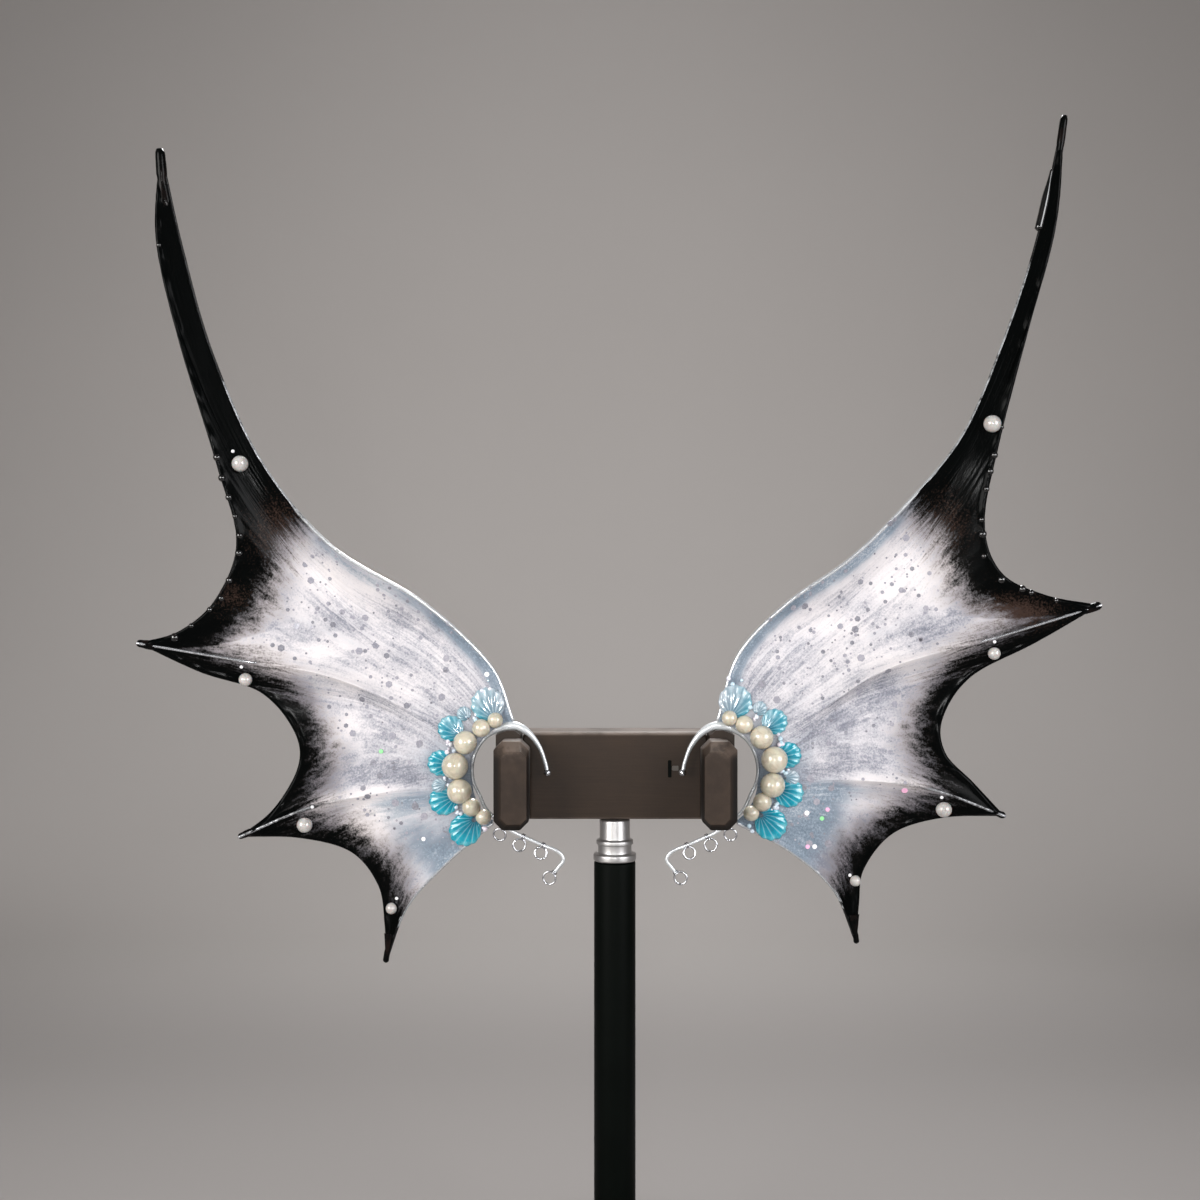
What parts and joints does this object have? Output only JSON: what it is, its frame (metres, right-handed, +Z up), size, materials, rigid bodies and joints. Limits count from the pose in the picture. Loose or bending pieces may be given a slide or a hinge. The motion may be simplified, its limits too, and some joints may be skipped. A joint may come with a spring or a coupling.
{
  "type": "pair of mermaid fin ear cuffs on a clamp display stand",
  "caption": "Pair of spiked fin-shaped ear cuffs with wire hooks, pearls and scallop shells, hung on the arms of a clamp on a pole with a round base.",
  "frame": {"origin": "middle of the base's underside, on the pole's axis", "axes": "+Z up along the pole, +X to the viewer's right across the pair, fins facing -Y"},
  "size_m": [0.2867, 0.11, 0.3567],
  "materials": {
    "fin_film": "pearl-white painted film, blue near the cuff, black at the edges, resin gloss",
    "wire_silver": "silver plated wire",
    "pearl_cream": "cream pearl lustre",
    "pearl_white": "white pearl lustre",
    "shell_turquoise": "clear turquoise resin with an iridescent rim",
    "clamp_brown": "dark moulded plastic, satin",
    "pad_rubber": "matt black rubber",
    "stand_black": "black, semi-gloss",
    "neck_silver": "bright metal"
  },
  "bodies": {
    "root": {"base": "stand_black", "pole": "stand_black", "neck": "neck_silver", "clamp_plate": "clamp_brown", "left_clamp_arm": "clamp_brown", "left_clamp_pad": "pad_rubber", "left_fin": "fin_film", "left_crest_wire": "wire_silver", "left_upper_rib": "wire_silver", "left_middle_rib": "wire_silver", "left_lower_wire": "wire_silver", "left_ear_wire": "wire_silver", "left_cuff_pearl_1": "pearl_cream", "left_cuff_pearl_2": "pearl_cream", "left_cuff_pearl_3": "pearl_cream", "left_cuff_pearl_4": "pearl_cream", "left_cuff_pearl_5": "pearl_cream", "left_cuff_pearl_6": "pearl_cream", "left_cuff_pearl_7": "pearl_cream", "left_shell_1": "shell_turquoise", "left_shell_2": "shell_turquoise", "left_shell_3": "shell_turquoise", "left_shell_4": "shell_turquoise", "left_shell_5": "shell_turquoise", "left_crest_pearl": "pearl_white", "left_upper_pearl": "pearl_white", "left_middle_pearl": "pearl_white", "left_lower_pearl": "pearl_white", "right_clamp_arm": "clamp_brown", "right_clamp_pad": "pad_rubber", "right_fin": "fin_film", "right_crest_wire": "wire_silver", "right_upper_rib": "wire_silver", "right_middle_rib": "wire_silver", "right_lower_wire": "wire_silver", "right_ear_wire": "wire_silver", "right_cuff_pearl_1": "pearl_cream", "right_cuff_pearl_2": "pearl_cream", "right_cuff_pearl_3": "pearl_cream", "right_cuff_pearl_4": "pearl_cream", "right_cuff_pearl_5": "pearl_cream", "right_cuff_pearl_6": "pearl_cream", "right_cuff_pearl_7": "pearl_cream", "right_shell_1": "shell_turquoise", "right_shell_2": "shell_turquoise", "right_shell_3": "shell_turquoise", "right_shell_4": "shell_turquoise", "right_shell_5": "shell_turquoise", "right_crest_pearl": "pearl_white", "right_upper_pearl": "pearl_white", "right_middle_pearl": "pearl_white", "right_lower_pearl": "pearl_white"}
  },
  "joints": []
}
